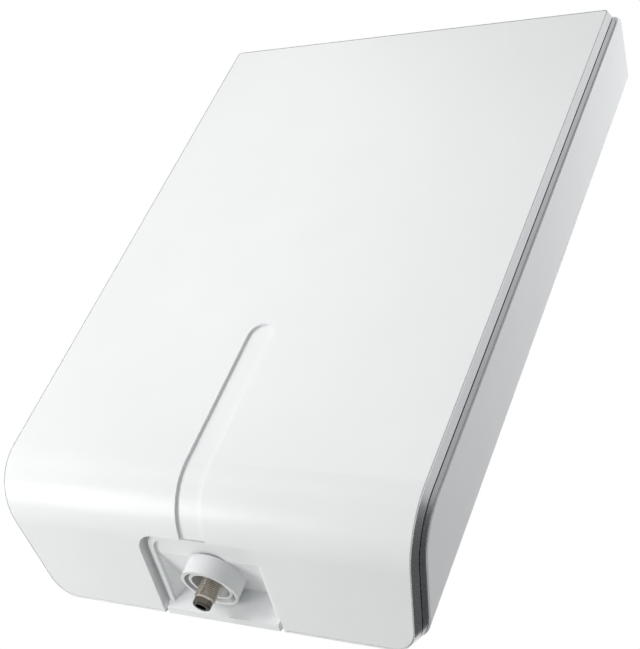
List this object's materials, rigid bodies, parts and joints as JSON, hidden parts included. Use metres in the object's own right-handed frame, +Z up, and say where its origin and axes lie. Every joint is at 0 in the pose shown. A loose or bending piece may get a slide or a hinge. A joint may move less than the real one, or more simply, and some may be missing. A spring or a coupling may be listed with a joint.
{
  "type": "outdoor tv antenna",
  "caption": "Flat white outdoor TV panel antenna, a thin box whose front bends under into a chin with a recessed, collared coaxial connector facing down.",
  "frame": {"origin": "middle of the four threaded inserts, on the flat back", "axes": "+Z up along the panel, +Y out of the back toward the wall or mast, the front faces -Y, X across the panel"},
  "size_m": [0.2252, 0.0605, 0.3301],
  "materials": {
    "white_plastic": "satin",
    "housing_plastic": "fine texture",
    "silver_trim": "satin metallic paint",
    "black_rubber": "matte",
    "nickel": "bright",
    "white_dielectric": "smooth",
    "brass": "machined",
    "sheet_aluminium": "mill",
    "nylon": "smooth",
    "board_laminate": "solder mask",
    "copper": "tinned foil",
    "black_plastic": "moulded",
    "tinned_steel": "bright",
    "cable_jacket": "smooth",
    "screw_steel": "zinc plated",
    "grey_plastic": "moulded"
  },
  "bodies": {
    "root": {"front_cover": "white_plastic", "front_trim": "silver_trim", "rim_gasket": "black_rubber", "rear_trim": "silver_trim", "rear_housing": "housing_plastic", "connector_pod": "white_plastic", "f_connector_body": "nickel", "f_connector_insulator": "white_dielectric", "f_connector_contact": "brass", "f_connector_seal": "black_rubber", "f_connector_washer": "nickel", "f_connector_nut": "nickel", "reflector_plate": "sheet_aluminium", "element_spacers": "nylon", "element_board": "board_laminate", "dipole_foils": "copper", "balun_block": "black_plastic", "amplifier_board": "board_laminate", "shield_frame": "tinned_steel", "shield_lid": "tinned_steel", "amplifier_parts": "black_plastic", "coax_jumper": "cable_jacket", "output_lead": "cable_jacket", "cover_screws": "screw_steel", "element_screws": "screw_steel", "board_screws": "screw_steel", "pod_screws": "screw_steel", "mount_inserts": "brass", "vent_plug": "grey_plastic"}
  },
  "joints": []
}
